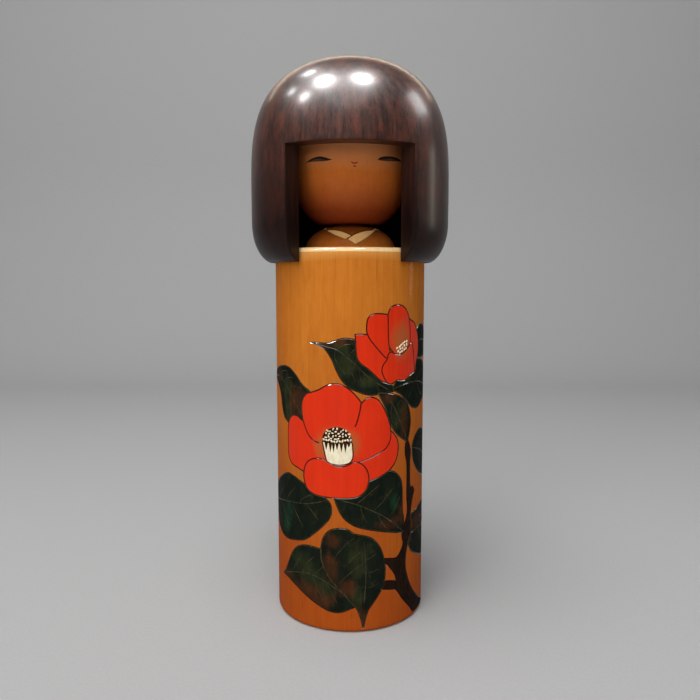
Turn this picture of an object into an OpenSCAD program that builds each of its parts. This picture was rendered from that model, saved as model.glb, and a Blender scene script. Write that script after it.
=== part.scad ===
// Turned wooden doll: a plain round body column, a low shoulder mound, a round
// head and a separate thick hair cap with a window cut out for the face.
// Millimetres. The doll stands on z = 0, its axis is Z and it looks along -Y.

/* [Body] */
// Radius of the body column
body_r = 40; // [34:0.5:42]
// Height of the body column
body_h = 196; // [120:1:260]
// Rounding of the column's top and bottom edges
body_edge_r = 2.2; // [0.5:0.1:3]

/* [Shoulders] */
// Radius of the shoulder mound where it meets the body
dome_r = 24; // [20:0.5:32]
// Height of the mound above the body
dome_h = 11.5; // [8:0.5:18]
// Radius of the flat on top of the mound
dome_flat_r = 13; // [12:0.5:18]
// Radius of the low neck ring turned on that flat
neck_r = 9; // [8:0.5:11]
// Height of the neck ring, which leaves a dark line under the chin
neck_h = 1.5; // [0.5:0.1:4]

/* [Head] */
// Largest radius of the head
head_r = 32; // [26:0.5:33]
// Height of the widest point of the head above the neck ring
head_belly_h = 46; // [36:1:50]
// Height of the crown above the widest point
head_crown_h = 18; // [12:1:22]
// Radius of the flat under the chin
chin_flat_r = 16; // [10:0.5:20]
// Squareness of the cheeks' outline, where 2 is an ellipse
cheek_square = 3; // [2:0.1:4]
// Radius of the flat on the crown, which carries the hair cap
crown_flat_r = 10; // [8.5:0.5:14]

/* [Hair cap] */
// Largest radius of the hair cap
hair_r = 52.3; // [48:0.1:56]
// Height of the cap's widest point above the top of the body
hair_wide_h = 27; // [20:0.5:34]
// Height of the cap's top above its widest point
hair_top_h = 70.4; // [66:0.1:80]
// Squareness of the top outline in height, where 2 is an ellipse
hair_square_z = 3.4; // [2:0.1:4]
// Squareness of the top outline in radius, where 2 is an ellipse
hair_square_r = 2.27; // [2:0.01:4]
// Height over which the lower edge rounds inwards
hair_tuck_h = 21.2; // [10:0.1:26]
// Depth by which the lower edge rounds inwards
hair_tuck_d = 11.6; // [6:0.1:12]
// How far the lower edge hangs below the top of the body
hair_overlap = 7.4; // [2:0.1:12]
// Radius of the hollow inside the cap
cavity_r = 42; // [41:0.5:43]

/* [Face window] */
// Angle from the front to each side wall of the window
window_half_angle = 36.5; // [25:0.5:50]
// Height of the fringe's lower edge above the top of the body
fringe_h = 48.3; // [40:0.1:54]

/* [Dowels] */
// Radius of both dowels
dowel_r = 6; // [4:0.5:6.5]
// Radial clearance of the head on the neck dowel, on which it turns
turn_gap = 0.06; // [0.02:0.01:0.1]
// Depth of the neck dowel in the body
neck_dowel_in_body = 30; // [15:1:50]
// Depth of the neck dowel in the head
neck_dowel_in_head = 26; // [15:1:30]
// Depth of the crown dowel in the head
crown_dowel_in_head = 16; // [8:1:16]
// Depth of the crown dowel in the hair cap
crown_dowel_in_hair = 10; // [5:1:12]

/* [Hidden] */
$fn = 96;
profile_steps = 24;
bore_end_gap = 1;
ceiling_margin = 4;
vault_drop = 4;
past = 5;

neck_z = body_h + dome_h;
chin_z = neck_z + neck_h;
belly_z = chin_z + head_belly_h;
crown_z = belly_z + head_crown_h;
hair_wide_z = body_h + hair_wide_h;
hair_low_z = body_h - hair_overlap;
fringe_z = body_h + fringe_h;
tuck_z = hair_low_z + hair_tuck_h;
cavity_spring_z = belly_z - vault_drop;

// Upright semi-axis of the ellipse, or of the squared-off ellipse, that is
// r_belly wide at height zero and r_flat wide at height h.
function semi_axis(h, r_belly, r_flat, square = 2) =
    h / pow(1 - pow(r_flat / r_belly, square), 1 / square);

// Points of an elliptic arc in the profile plane, from angle from_deg to to_deg.
function arc_points(cr, cz, semi_r, semi_z, from_deg, to_deg) = [
    for (i = [0 : profile_steps])
        let (a = from_deg + (to_deg - from_deg) * i / profile_steps)
        [cr + semi_r * cos(a), cz + semi_z * sin(a)]
];

// Points of a squared-off arc, from the widest point up to the axis.
function squared_points(cz, semi_r, semi_z, square_r, square_z) = [
    for (i = [0 : profile_steps])
        let (a = 90 * i / profile_steps)
        [semi_r * pow(cos(a), 2 / square_r), cz + semi_z * pow(sin(a), 2 / square_z)]
];

// Points of the cheeks, from the flat under the chin up to the widest point.
function cheek_points(semi_z) = [
    for (i = [0 : profile_steps])
        let (
            end = acos(pow(chin_flat_r / head_r, cheek_square / 2)),
            a = end * (1 - i / profile_steps)
        )
        [head_r * pow(cos(a), 2 / cheek_square), belly_z - semi_z * pow(sin(a), 2 / cheek_square)]
];

// A plain round hole, or the dowel that fills it, standing on height z.
module round_pin(z, length, radius) {
    translate([0, 0, z])
        cylinder(h = length, r = radius);
}

// The solid column, with a blind hole in its top for the neck dowel.
module body_column() {
    color("#c67c33")
    difference() {
        rotate_extrude()
            polygon(concat(
                [[0, 0]],
                arc_points(body_r - body_edge_r, body_edge_r, body_edge_r, body_edge_r, -90, 0),
                arc_points(body_r - body_edge_r, body_h - body_edge_r, body_edge_r, body_edge_r, 0, 90),
                [[0, body_h]]
            ));
        round_pin(body_h - neck_dowel_in_body - bore_end_gap,
                  neck_dowel_in_body + bore_end_gap + past, dowel_r);
    }
}

// The low mound that stands for the shoulders, with the neck ring turned on it.
module shoulder_dome() {
    dome_semi_z = semi_axis(dome_h, dome_r, dome_flat_r);
    color("#a65f24")
    difference() {
        rotate_extrude()
            polygon(concat(
                [[0, body_h]],
                arc_points(0, body_h, dome_r, dome_semi_z, 0, acos(dome_flat_r / dome_r)),
                [[neck_r, neck_z], [neck_r, chin_z], [0, chin_z]]
            ));
        round_pin(body_h - past, dome_h + neck_h + 2 * past, dowel_r);
    }
}

// The dowel that holds body and shoulders together and on which the head turns.
module neck_dowel() {
    color("#d9b384")
    round_pin(body_h - neck_dowel_in_body,
              neck_dowel_in_body + dome_h + neck_h + neck_dowel_in_head, dowel_r);
}

// The round-cheeked head, flat under the chin and on the crown, with a blind
// hole in each flat.
module head() {
    cheek_semi_z = semi_axis(head_belly_h, head_r, chin_flat_r, cheek_square);
    crown_semi_z = semi_axis(head_crown_h, head_r, crown_flat_r);
    color("#b8692a")
    difference() {
        rotate_extrude()
            polygon(concat(
                [[0, chin_z]],
                cheek_points(cheek_semi_z),
                arc_points(0, belly_z, head_r, crown_semi_z, 0, acos(crown_flat_r / head_r)),
                [[0, crown_z]]
            ));
        round_pin(chin_z - past, neck_dowel_in_head + bore_end_gap + past, dowel_r + turn_gap);
        round_pin(crown_z - crown_dowel_in_head, crown_dowel_in_head + past, dowel_r);
    }
}

// The dowel that pins the hair cap to the crown.
module crown_dowel() {
    color("#d9b384")
    round_pin(crown_z - crown_dowel_in_head, crown_dowel_in_head + crown_dowel_in_hair, dowel_r);
}

// Outline of the hair cap's outside, closed along the axis.
module hair_outline() {
    tuck_centre_r = hair_r - hair_tuck_d;
    polygon(concat(
        [[0, hair_low_z]],
        arc_points(tuck_centre_r, tuck_z, hair_tuck_d, hair_tuck_h, -90, 0),
        squared_points(hair_wide_z, hair_r, hair_top_h, hair_square_r, hair_square_z)
    ));
}

// Outline of the hollow in which the head sits: straight below, domed above,
// with a flat ceiling on the crown of the head.
module cavity_outline() {
    ceiling_r = crown_flat_r + ceiling_margin;
    vault_semi_z = semi_axis(crown_z - cavity_spring_z, cavity_r, ceiling_r);
    polygon(concat(
        [[0, hair_low_z - past], [cavity_r, hair_low_z - past]],
        arc_points(0, cavity_spring_z, cavity_r, vault_semi_z, 0, acos(ceiling_r / cavity_r)),
        [[0, crown_z]]
    ));
}

// The wedge that opens the window for the face, from the fringe down.
module window_wedge() {
    reach = 2 * hair_r;
    side = reach * tan(window_half_angle);
    translate([0, 0, hair_low_z - past])
        linear_extrude(height = fringe_z - hair_low_z + past)
            polygon([[0, 0], [-side, -reach], [side, -reach]]);
}

// The thick turned hair cap.
module hair_cap() {
    color("#2b1512")
    difference() {
        rotate_extrude()
            hair_outline();
        rotate_extrude()
            cavity_outline();
        window_wedge();
        round_pin(crown_z - past, crown_dowel_in_hair + past, dowel_r);
    }
}

body_column();
shoulder_dome();
neck_dowel();
head();
crown_dowel();
hair_cap();
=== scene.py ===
"""Looks of a turned and carved wooden doll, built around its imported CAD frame.

The camellia design is drawn flat, in millimetres, on the unrolled surface of the
body: x runs to the viewer's right from the middle of the front, y is the height.
carve() turns such a drawing into a mesh with real V-shaped cuts, which is then
wrapped round the turned shape it belongs to.
"""

import math
import random

import bmesh
import bpy
import numpy as np
from mathutils import Matrix, Vector
from mathutils.geometry import delaunay_2d_cdt
from mathutils.kdtree import KDTree


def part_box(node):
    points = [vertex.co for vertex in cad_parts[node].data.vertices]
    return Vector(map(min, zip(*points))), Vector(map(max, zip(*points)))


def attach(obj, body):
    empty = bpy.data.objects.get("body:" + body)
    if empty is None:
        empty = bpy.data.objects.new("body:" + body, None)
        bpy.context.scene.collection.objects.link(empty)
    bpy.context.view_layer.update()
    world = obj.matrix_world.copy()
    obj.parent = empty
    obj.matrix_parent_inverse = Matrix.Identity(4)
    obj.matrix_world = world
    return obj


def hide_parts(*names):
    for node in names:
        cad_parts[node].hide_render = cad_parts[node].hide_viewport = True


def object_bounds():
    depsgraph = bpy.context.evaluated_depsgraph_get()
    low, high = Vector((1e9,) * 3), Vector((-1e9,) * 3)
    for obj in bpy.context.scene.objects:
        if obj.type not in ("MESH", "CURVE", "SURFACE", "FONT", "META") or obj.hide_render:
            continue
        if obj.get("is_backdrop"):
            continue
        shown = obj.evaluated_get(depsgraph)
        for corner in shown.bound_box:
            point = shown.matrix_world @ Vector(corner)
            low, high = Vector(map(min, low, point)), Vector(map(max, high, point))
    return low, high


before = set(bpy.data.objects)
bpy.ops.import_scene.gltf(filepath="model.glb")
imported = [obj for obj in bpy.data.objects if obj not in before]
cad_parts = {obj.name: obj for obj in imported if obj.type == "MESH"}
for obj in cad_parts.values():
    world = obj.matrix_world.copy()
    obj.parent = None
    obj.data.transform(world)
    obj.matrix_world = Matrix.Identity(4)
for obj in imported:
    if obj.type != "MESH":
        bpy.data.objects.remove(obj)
cad_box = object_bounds()

MM = 0.001

# ---------------------------------------------------------------- sizes, in mm


def node_box(name):
    """Lowest and highest corner of a CAD node, in millimetres."""
    low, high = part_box(name)
    return [v / MM for v in low], [v / MM for v in high]


BODY_R = node_box("body_column")[1][0]
BODY_H = node_box("body_column")[1][2]
BODY_EDGE = 2.2  # rounding of the column's two edges
DOME_R = node_box("shoulder_dome")[1][0]
CHIN_Z = node_box("shoulder_dome")[1][2]
NECK_H = 1.5  # the low ring under the chin
NECK_R = 9.0
DOME_FLAT_R = 13.0
DOWEL_R = node_box("neck_dowel")[1][0]
DOWEL_LOW = node_box("neck_dowel")[0][2]
DOWEL_HIGH = node_box("neck_dowel")[1][2]
TURN_GAP = 0.06
HEAD_R = node_box("head")[1][0]
CROWN_Z = node_box("head")[1][2]
BELLY_Z = CROWN_Z - 18.0  # the head's widest point
CHIN_FLAT_R = 16.0
CHEEK_SQUARE = 3.0  # squareness of the head's outline below its widest point
CROWN_FLAT_R = 10.0
CROWN_DOWEL_LOW = node_box("crown_dowel")[0][2]
CROWN_DOWEL_HIGH = node_box("crown_dowel")[1][2]
HAIR_R = node_box("hair_cap")[1][0]
HAIR_LOW = BODY_H - 7.12  # the lower rim, 0.14 mm above the CAD's
HAIR_TOP = node_box("hair_cap")[1][2]
HAIR_WIDE_Z = BODY_H + 27.0  # where the side of the hair starts to curve inwards
HAIR_SQUARE_R, HAIR_SQUARE_Z = 2.27, 3.4  # squareness of its top, in radius and in height
HAIR_TUCK_Z = BODY_H + 13.8  # below this the hair tucks in
HAIR_TUCK_D, HAIR_TUCK_H = 11.6, 21.2  # depth and height of that tuck's ellipse
CAVITY_R = 42.0
CAVITY_SPRING_Z = BELLY_Z - 4.0  # where the hollow's vault starts
CEILING_R = CROWN_FLAT_R + 4.0  # the flat at the top of the hollow
BORE_GAP = 1.0  # how much deeper a blind hole is than its dowel
FRINGE_Z = BODY_H + 48.3
WINDOW_ANGLE = math.radians(36.5)

# ---------------------------------------------------------------- camera


def make_camera():
    """The photographer's place: 38 cm away, above the doll's middle, looking 6 degrees down."""
    data = bpy.data.cameras.new("camera")
    data.lens = 35.77
    data.sensor_width = 36.0
    data.clip_start = 0.01
    camera = bpy.data.objects.new("camera", data)
    camera.location = (0.0, -0.379, 0.1817)
    camera.rotation_euler = (math.radians(90.0 - 6.04), 0.0, 0.0)
    bpy.context.scene.collection.objects.link(camera)
    bpy.context.scene.camera = camera


make_camera()

# ---------------------------------------------------------------- flat curves


def through(run, before, after, step):
    """Points along a smooth curve through run, whose ends lean towards before and after."""
    knots = np.vstack([before, run, after])
    gaps = np.maximum(np.linalg.norm(np.diff(knots, axis=0), axis=1), 1e-9)
    slopes = (knots[2:] - knots[:-2]) / (gaps[1:] + gaps[:-1])[:, None]
    made = []
    for i in range(len(run) - 1):
        gap = gaps[i + 1]
        t = np.arange(0.0, 1.0, 1.0 / math.ceil(gap / step))[:, None]
        made.append(
            (2 * t**3 - 3 * t**2 + 1) * run[i]
            + (t**3 - 2 * t**2 + t) * slopes[i] * gap
            + (3 * t**2 - 2 * t**3) * run[i + 1]
            + (t**3 - t**2) * slopes[i + 1] * gap
        )
    return np.vstack(made)


def open_curve(points, step=0.8):
    """A smooth curve from the first point to the last."""
    run = np.array(points, float)
    start, end = 2 * run[0] - run[1], 2 * run[-1] - run[-2]
    return np.vstack([through(run, start, end, step), run[-1:]])


def closed_curve(points, corners=(), step=0.8):
    """A smooth loop through the points, with a sharp corner at each of the numbered ones."""
    loop = np.array(points, float)
    count = len(loop)
    if not corners:
        return through(np.vstack([loop, loop[:1]]), loop[-1], loop[1], step)
    runs = []
    stops = sorted(corners)
    for k, first in enumerate(stops):
        last = stops[(k + 1) % len(stops)]
        length = (last - first - 1) % count + 1
        run = loop[[(first + i) % count for i in range(length + 1)]]
        start, end = 2 * run[0] - run[1], 2 * run[-1] - run[-2]
        runs.append(through(run, start, end, step))
    return np.vstack(runs)


def inside(points, outline):
    """Which of the points lie inside the closed outline."""
    result = np.zeros(len(points), bool)
    low, high = outline.min(axis=0), outline.max(axis=0)
    near = np.flatnonzero(((points >= low) & (points <= high)).all(axis=1))
    x, y = points[near].T
    hits = np.zeros(len(near), bool)
    for (x1, y1), (x2, y2) in zip(outline, np.roll(outline, -1, axis=0)):
        if y1 != y2:
            hits ^= ((y1 > y) != (y2 > y)) & (x < (x2 - x1) * (y - y1) / (y2 - y1) + x1)
    result[near] = hits
    return result


def far_from(points, curve, distance):
    """Which of the points are further than distance from the curve's own points."""
    result = np.ones(len(points), bool)
    low, high = curve.min(axis=0) - distance, curve.max(axis=0) + distance
    near = np.flatnonzero(((points >= low) & (points <= high)).all(axis=1))
    if len(near):
        gaps = np.linalg.norm(points[near][:, None] - curve[None], axis=2).min(axis=1)
        result[near] = gaps > distance
    return result


# ---------------------------------------------------------------- drawings

OUTLINE = (0.36, 0.26)  # half the width and the depth of a carved outline
RIB = (0.27, 0.19)
VEIN = (0.2, 0.14)
NO_CUT = (0.0, 0.0)
HIDDEN = 0.55  # an outline this close behind another one isn't cut again
TAPER = 3.0  # length over which the free end of a cut runs out


class Drawing:
    """Painted areas and cut lines, each hidden by the areas added after it."""

    def __init__(self, step=0.8):
        self.step = step
        self.areas = []
        self.lines = []
        self.tints = []

    def area(self, paint, points, corners=(), cut=OUTLINE):
        """A painted area, with its outline cut into the wood."""
        outline = closed_curve(points, corners, self.step)
        self.areas.append((paint, outline, HIDDEN if cut[0] else 0.0))
        self.lines.append((np.vstack([outline, outline[:1]]), cut, len(self.areas), False))

    def line(self, points, cut=VEIN):
        """A cut line with pointed ends."""
        self.lines.append((open_curve(points, self.step), cut, len(self.areas), True))

    def tint(self, kind, centre, size):
        """A soft oval patch in which the paint changes towards the named kind."""
        self.tints.append((kind, np.array(centre, float), np.array(size, float)))

    def shown_lines(self, keep):
        """The stretches of each line that show and that keep() allows: points, half widths, depths."""
        for curve, (half, depth), order, pointed in self.lines:
            shown = keep(curve)
            for _, outline, reach in self.areas[order:]:
                shown &= ~inside(curve, outline) & far_from(curve, outline, reach)
            edges = np.flatnonzero(np.diff(np.concatenate([[0], shown, [0]])))
            for first, last in zip(edges[::2], edges[1::2]):
                first, last = max(first - 1, 0), min(last + 1, len(curve))
                stretch = curve[first:last]
                if last - first < 3:
                    continue
                share = np.ones(len(stretch))
                if pointed:
                    along = np.linalg.norm(np.diff(curve, axis=0), axis=1)
                    along = np.concatenate([[0.0], np.cumsum(along)])
                    ends = np.minimum(along, along[-1] - along)[first:last]
                    share = np.clip(ends / TAPER, 0.05, 1.0) ** 0.7
                yield stretch, half * share, depth * share


def both_sides(curve, offsets):
    """The curve moved to its left and to its right by the offsets."""
    ahead = np.gradient(curve, axis=0)
    ahead /= np.linalg.norm(ahead, axis=1)[:, None] + 1e-12
    across = np.stack([-ahead[:, 1], ahead[:, 0]], axis=1) * offsets[:, None]
    return curve + across, curve - across


def dense(curve, *values, step=0.12):
    """The curve and its values at a short, even spacing."""
    gaps = np.linalg.norm(np.diff(curve, axis=0), axis=1)
    along = np.concatenate([[0.0], np.cumsum(gaps)])
    at = np.union1d(np.arange(0.0, along[-1], step), along)
    columns = [curve[:, 0], curve[:, 1], *values]
    return [np.interp(at, along, column) for column in columns]


class Cuts:
    """How deep the wood is cut at any point of the sheet."""

    def __init__(self, stretches):
        self.rows = [np.concatenate(c) for c in zip(*[dense(*s) for s in stretches])]
        self.widest = max(self.rows[2]) if stretches else 0.0
        self.tree = KDTree(len(self.rows[0]))
        for i, (x, y) in enumerate(zip(self.rows[0], self.rows[1])):
            self.tree.insert((x, y, 0.0), i)
        self.tree.balance()

    def depth(self, points):
        """The depth at each point: a V whose walls rise evenly from the middle of the cut to its edge."""
        halves, depths = self.rows[2], self.rows[3]
        result = np.zeros(len(points))
        for k, (x, y) in enumerate(points):
            for _, i, gap in self.tree.find_range((x, y, 0.0), self.widest):
                if gap < halves[i]:
                    result[k] = max(result[k], depths[i] * (1.0 - gap / halves[i]))
        return result

    def clear(self, points, margin):
        """Which of the points are at least the margin away from every cut."""
        gaps = [self.tree.find((x, y, 0.0))[2] for x, y in points]
        return np.array(gaps) > self.widest + margin


def carve(drawing, loops, spacing, keep, paints):
    """Meshes a drawing inside the closed loops of points.

    Returns the flat points, the cut depth at each, the triangles and the number
    of each triangle's paint in paints."""
    points, edges = [], []

    def chain(curve, closed=False):
        first = sum(len(p) for p in points)
        points.append(curve)
        edges.extend((first + i, first + i + 1) for i in range(len(curve) - 1))
        if closed:
            edges.append((first + len(curve) - 1, first))

    for loop in loops:
        chain(loop, closed=True)
    stretches = list(drawing.shown_lines(keep))
    for curve, halves, _ in stretches:
        chain(curve)
        if halves.max() > 0:
            left, right = both_sides(curve, halves)
            chain(left)
            chain(right)
    cuts = Cuts(stretches)
    low = np.min([loop.min(axis=0) for loop in loops], axis=0)
    high = np.max([loop.max(axis=0) for loop in loops], axis=0)
    rows = np.arange(low[1] + spacing * 0.6, high[1] - spacing * 0.5, spacing * 0.866)
    grid = [
        (x + (j % 2) * spacing / 2, y)
        for j, y in enumerate(rows)
        for x in np.arange(low[0] + spacing * 0.6, high[0] - spacing * 0.9, spacing)
    ]
    grid = np.array(grid)
    grid = grid[keep(grid)]
    grid = grid[cuts.clear(grid, spacing * 0.35)]
    points.append(grid)
    flat = [Vector(p) for p in np.vstack(points)]
    made = delaunay_2d_cdt(flat, edges, [], 0, 1e-4)
    sheet = np.array([tuple(p) for p in made[0]])
    triangles = np.array([f for f in made[2] if len(f) == 3])
    middles = sheet[triangles].mean(axis=1)
    wanted = inside(middles, loops[0])
    for hole in loops[1:]:
        wanted &= ~inside(middles, hole)
    triangles, middles = triangles[wanted], middles[wanted]
    paint = np.zeros(len(triangles), int)
    for name, outline, _ in drawing.areas:
        paint[inside(middles, outline)] = paints.index(name)
    in_cut = cuts.depth(middles) > 0.01
    for below, name in (("petal", "petal_cut"), ("leaf", "vein"), ("cream", "dark"), (paints[0], "cut")):
        if name in paints:
            paint[in_cut & (paint == paints.index(below))] = paints.index(name)
    return sheet, cuts.depth(sheet), triangles, paint


def tint_values(drawing, kind, sheet):
    """How strongly one kind of tint shows at each point, from 0 to 1."""
    value = np.zeros(len(sheet))
    for named, centre, size in drawing.tints:
        if named == kind:
            away = np.linalg.norm((sheet - centre) / size, axis=1)
            value = np.maximum(value, np.clip(1.5 - away, 0.0, 1.0))
    return value


# ---------------------------------------------------------------- the camellia branch


def leaf(drawing, points, corners, rib, veins):
    """A leaf with its midrib and side veins."""
    drawing.area("leaf", points, corners)
    drawing.line(rib, RIB)
    for vein in veins:
        drawing.line(vein, VEIN)


def draw_bough(d):
    """The bough that rises from the base on the right, with its twigs."""
    d.area("bough", [
        (43.0, -1), (36.8, 6.3), (29.9, 13.8), (27.4, 17.5), (24.9, 20), (21.2, 20.9), (15, 22.3),
        (15, 25.2), (20, 25.7), (25.9, 24.2), (24.3, 28.8), (19, 35), (15, 36.2), (15, 38.6),
        (22.4, 37.2), (25.6, 36.9), (27.6, 38.3), (30.4, 43.2), (29.6, 47.6), (30.6, 52), (33, 57),
        (33.7, 61), (33.1, 68), (33.1, 80), (32.8, 86.3), (31.6, 91), (31.8, 96), (33.4, 98.6),
        (36.2, 92.5), (35.9, 86.3), (35.9, 76.3), (36.7, 71.9), (38.6, 72.2), (40.5, 69.6),
        (38.3, 65), (36.8, 58), (37.5, 50), (34.2, 41.5), (32.5, 33.5), (33.6, 26.3), (38.1, 16.9),
        (46.2, 8.8), (55.6, 3.1), (60, -1),
    ], corners=(0, 6, 7, 9, 12, 13, 27, 32, 33, 43))
    for bark in (
        [(44, 5), (37, 11.5), (31.5, 19), (29, 27), (29.6, 34), (31.5, 40)],
        [(50, 4), (42, 9.6), (35.5, 16.5), (31.6, 24.5), (31, 31)],
        [(33.2, 46), (34.6, 53), (35.2, 62), (34.4, 72), (34.6, 84), (33.6, 92)],
    ):
        d.line(bark, VEIN)


def draw_far_leaves(d):
    """The two leaves behind the bough, on the right."""
    # The broad leaf right of the bough, which wraps round the side.
    leaf(d, [(33, 47), (36.6, 56.6), (42.5, 58.4), (50, 60.2), (58, 60.4), (66, 57.5), (73, 51.5),
             (78, 43), (79.5, 35), (72, 31.6), (64, 29.4), (55.6, 29.4), (45, 33.2), (36.8, 38.1)],
         (0, 8), [(34, 47), (46, 47.5), (60, 45), (71, 40), (78, 36)],
         [[(43, 47.4), (50, 53), (58, 57)], [(54, 46.4), (61, 51), (67, 53.5)],
          [(46, 47.3), (52, 40.5), (59, 34)], [(58, 45.4), (64, 39.5), (70, 35)]])
    # The leaf at the right edge, half way up.
    leaf(d, [(37.6, 94), (40, 98.1), (43.8, 100.8), (49, 101.5), (55, 99.6), (61, 94.6), (66, 87.5),
             (68.5, 79), (61, 76.4), (55, 74.6), (50, 76), (45, 78.8), (40.6, 83), (38.1, 88)],
         (0, 7), [(37.8, 93), (46, 90.5), (56, 86), (67.5, 79.6)],
         [[(43, 91.6), (47, 96), (52, 98)], [(50, 89), (54, 93), (58.5, 94)],
          [(44, 91.2), (46.5, 85.5), (50, 80)], [(52, 88), (54, 83), (57.5, 78.5)]])


def draw_leaves(d):
    """The leaves in front of the bough, from the back forwards."""
    # Behind the small flower on its right.
    leaf(d, [(38, 149), (41.8, 155), (47.8, 157.2), (54, 155.4), (60, 150.6), (66.5, 143),
             (58, 140.4), (50, 139.6), (43, 140.5)],
         (0, 5), [(40, 148.5), (52, 148.6), (65, 143.4)],
         [[(47, 148.9), (51, 153), (55, 154)], [(50, 148.8), (54, 144.5), (58, 142)]])
    # Below the small flower.
    leaf(d, [(22, 125.4), (28, 133), (38, 138.5), (46, 138.9), (53, 136.6), (58, 131), (60.5, 122.5),
             (56, 118.4), (50, 116.2), (45.3, 114.2), (41, 113.5), (36.6, 114.8), (32, 118.6),
             (28.4, 121.9)],
         (0, 6), [(23, 125.6), (33, 127.5), (45, 127), (59.5, 123)],
         [[(33.4, 119.5), (36, 122.5), (38.5, 126.8)], [(31, 127.4), (37, 131.5), (43, 135)],
          [(40.5, 127.5), (46, 131.5), (51, 133.8)], [(42, 127.2), (46, 121.5), (51, 118.6)]])
    # The long leaf under the small flower, with a drawn-out tip.
    leaf(d, [(-21, 149), (-16.3, 149.1), (-11.5, 149), (-6.6, 150.6), (-2.8, 151.5), (3, 150.6),
             (12, 145), (20, 133), (23.4, 124.2), (17.8, 123.7), (10.9, 123.1), (7.2, 123.8),
             (4.1, 125), (-0.3, 127), (-4.1, 130.8), (-6.7, 135.4), (-8.6, 140), (-10.8, 143.8),
             (-13.6, 146.6), (-17, 148.3)],
         (0, 8), [(-17, 148.7), (-11, 147.2), (-6.5, 145.9), (0, 141), (9, 132.5), (21, 124.6)],
         [[(-6.4, 145.9), (-3.5, 148.2), (0.5, 148.8)], [(-1, 141.9), (1.5, 145.5), (4.5, 146.5)],
          [(-7, 146.2), (-7.6, 142.5), (-5.5, 137.5)], [(-3.4, 143.9), (-4.4, 138), (-1.4, 132)],
          [(0.8, 140.2), (0.6, 135), (3.2, 129.6)], [(4.6, 136.7), (5.4, 131), (8.4, 126.6)]])
    # The hanging leaf between the two flowers.
    leaf(d, [(14.1, 124.1), (17.8, 117.5), (21.6, 107.5), (25, 102.6), (29, 99.4), (33.4, 97),
             (35, 101.6), (35.9, 106.5), (35.4, 111.6), (33.6, 116), (30.3, 119.4), (26.6, 121.7),
             (21, 123.3)],
         (0, 5), [(18, 123), (23, 117), (27, 109.5), (32.8, 98.4)],
         [[(23.6, 116), (26.4, 117.8), (28.6, 120)], [(25.6, 112.4), (29, 114.6), (32.2, 116.2)],
          [(28, 107.6), (31.5, 109), (34.6, 110)], [(22.4, 117.8), (21.6, 114), (22, 109.8)],
          [(25.8, 111.9), (25, 108), (26, 104)]])
    # Left of the large flower, above.
    leaf(d, [(-62, 126.5), (-56, 131.4), (-50, 134), (-44.3, 135.4), (-38.6, 135.7), (-34.3, 134.7),
             (-30, 131.6), (-25.7, 127.3), (-20, 123), (-20, 112), (-28, 104), (-36.4, 106.4),
             (-40.7, 108.7), (-43.6, 113.7), (-45.2, 119.6), (-49, 124.4), (-55, 126.6)],
         (0,), [(-60, 127), (-50, 129.6), (-41.5, 127.5), (-33, 120), (-24, 109)],
         [[(-47, 129.3), (-43, 132.4), (-38, 133.6)], [(-41.4, 127.4), (-36.5, 130), (-31.5, 130.2)],
          [(-36.8, 123.8), (-32, 126), (-26.5, 125.4)], [(-45, 128.8), (-44.6, 124.5), (-43, 119.5)],
          [(-39.6, 126.2), (-40, 120), (-38, 113)], [(-34.6, 121.6), (-35, 115.5), (-33, 110)]])
    # Left of the large flower, below.
    leaf(d, [(-61.5, 60), (-57, 67.6), (-50.5, 73), (-45.8, 76), (-40.2, 78.8), (-35.8, 79.6),
             (-30.8, 78.5), (-24, 76), (-16, 73.5), (-12.1, 70.2), (-9.8, 67.2), (-9.4, 63.4),
             (-10.5, 60.2), (-12.9, 57), (-18.9, 51.2), (-24.6, 47), (-32, 44.9), (-40.2, 44),
             (-47, 45.6), (-54, 50)],
         (0,), [(-59.5, 60), (-48, 62.5), (-36, 64.5), (-24, 66), (-13, 69)],
         [[(-50, 62.1), (-46.5, 67), (-42, 71.5)], [(-40, 63.9), (-36, 69), (-31, 73.5)],
          [(-29, 65.4), (-25, 69), (-20, 71.5)], [(-46, 62.9), (-41.5, 57), (-37, 51)],
          [(-35, 64.6), (-30, 58.5), (-26, 53)], [(-24, 66), (-19.5, 62), (-16, 58)]])
    # Below the large flower on its right.
    leaf(d, [(-8.2, 71.5), (-6.4, 66.3), (-4.4, 62.3), (-1.2, 58.8), (3.8, 56), (10, 54.2),
             (21.3, 51.4), (30.9, 49), (31, 56), (30, 62), (29.8, 68), (29.6, 73.5), (28.4, 78.2),
             (25, 82), (21.5, 83.5), (16, 82.6), (8, 79), (0, 76)],
         (0, 7), [(-5, 70), (4, 67.5), (15, 62), (23, 56.5), (30, 50)],
         [[(3, 67.8), (9, 72.5), (15.5, 77.5)], [(12, 63.8), (18, 69), (24, 75.5)],
          [(20, 58.8), (24.5, 63.5), (28, 69.5)], [(5, 67), (6.6, 61.8), (9.4, 57)],
          [(14, 62.6), (16.2, 58), (19.4, 54)]])
    # The lowest leaf on the left.
    leaf(d, [(-43.8, 23.1), (-40.8, 26.3), (-38.3, 30.6), (-35.8, 35), (-32.7, 39.4), (-29.6, 42.1),
             (-25.8, 43.6), (-21.4, 44.1), (-14, 43), (-4, 36), (4, 24), (4, 15), (0, 12.9),
             (-3.6, 11.3), (-8, 10.7), (-13, 11.8), (-20.8, 15.3), (-30.8, 20), (-38, 22.4)],
         (0,), [(-42.6, 23.4), (-32, 27.5), (-20, 29), (-8, 24), (1, 18)],
         [[(-34, 26.9), (-31.5, 32), (-27, 37.6)], [(-27, 28.5), (-24, 34), (-18.5, 39.5)],
          [(-19.5, 29), (-15.5, 33), (-12, 36)], [(-29, 28.2), (-26.5, 24), (-22.5, 19.5)],
          [(-20.5, 29), (-17.5, 22.5), (-13.5, 16)], [(-12, 26.2), (-9.4, 20.5), (-6, 15)]])
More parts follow.
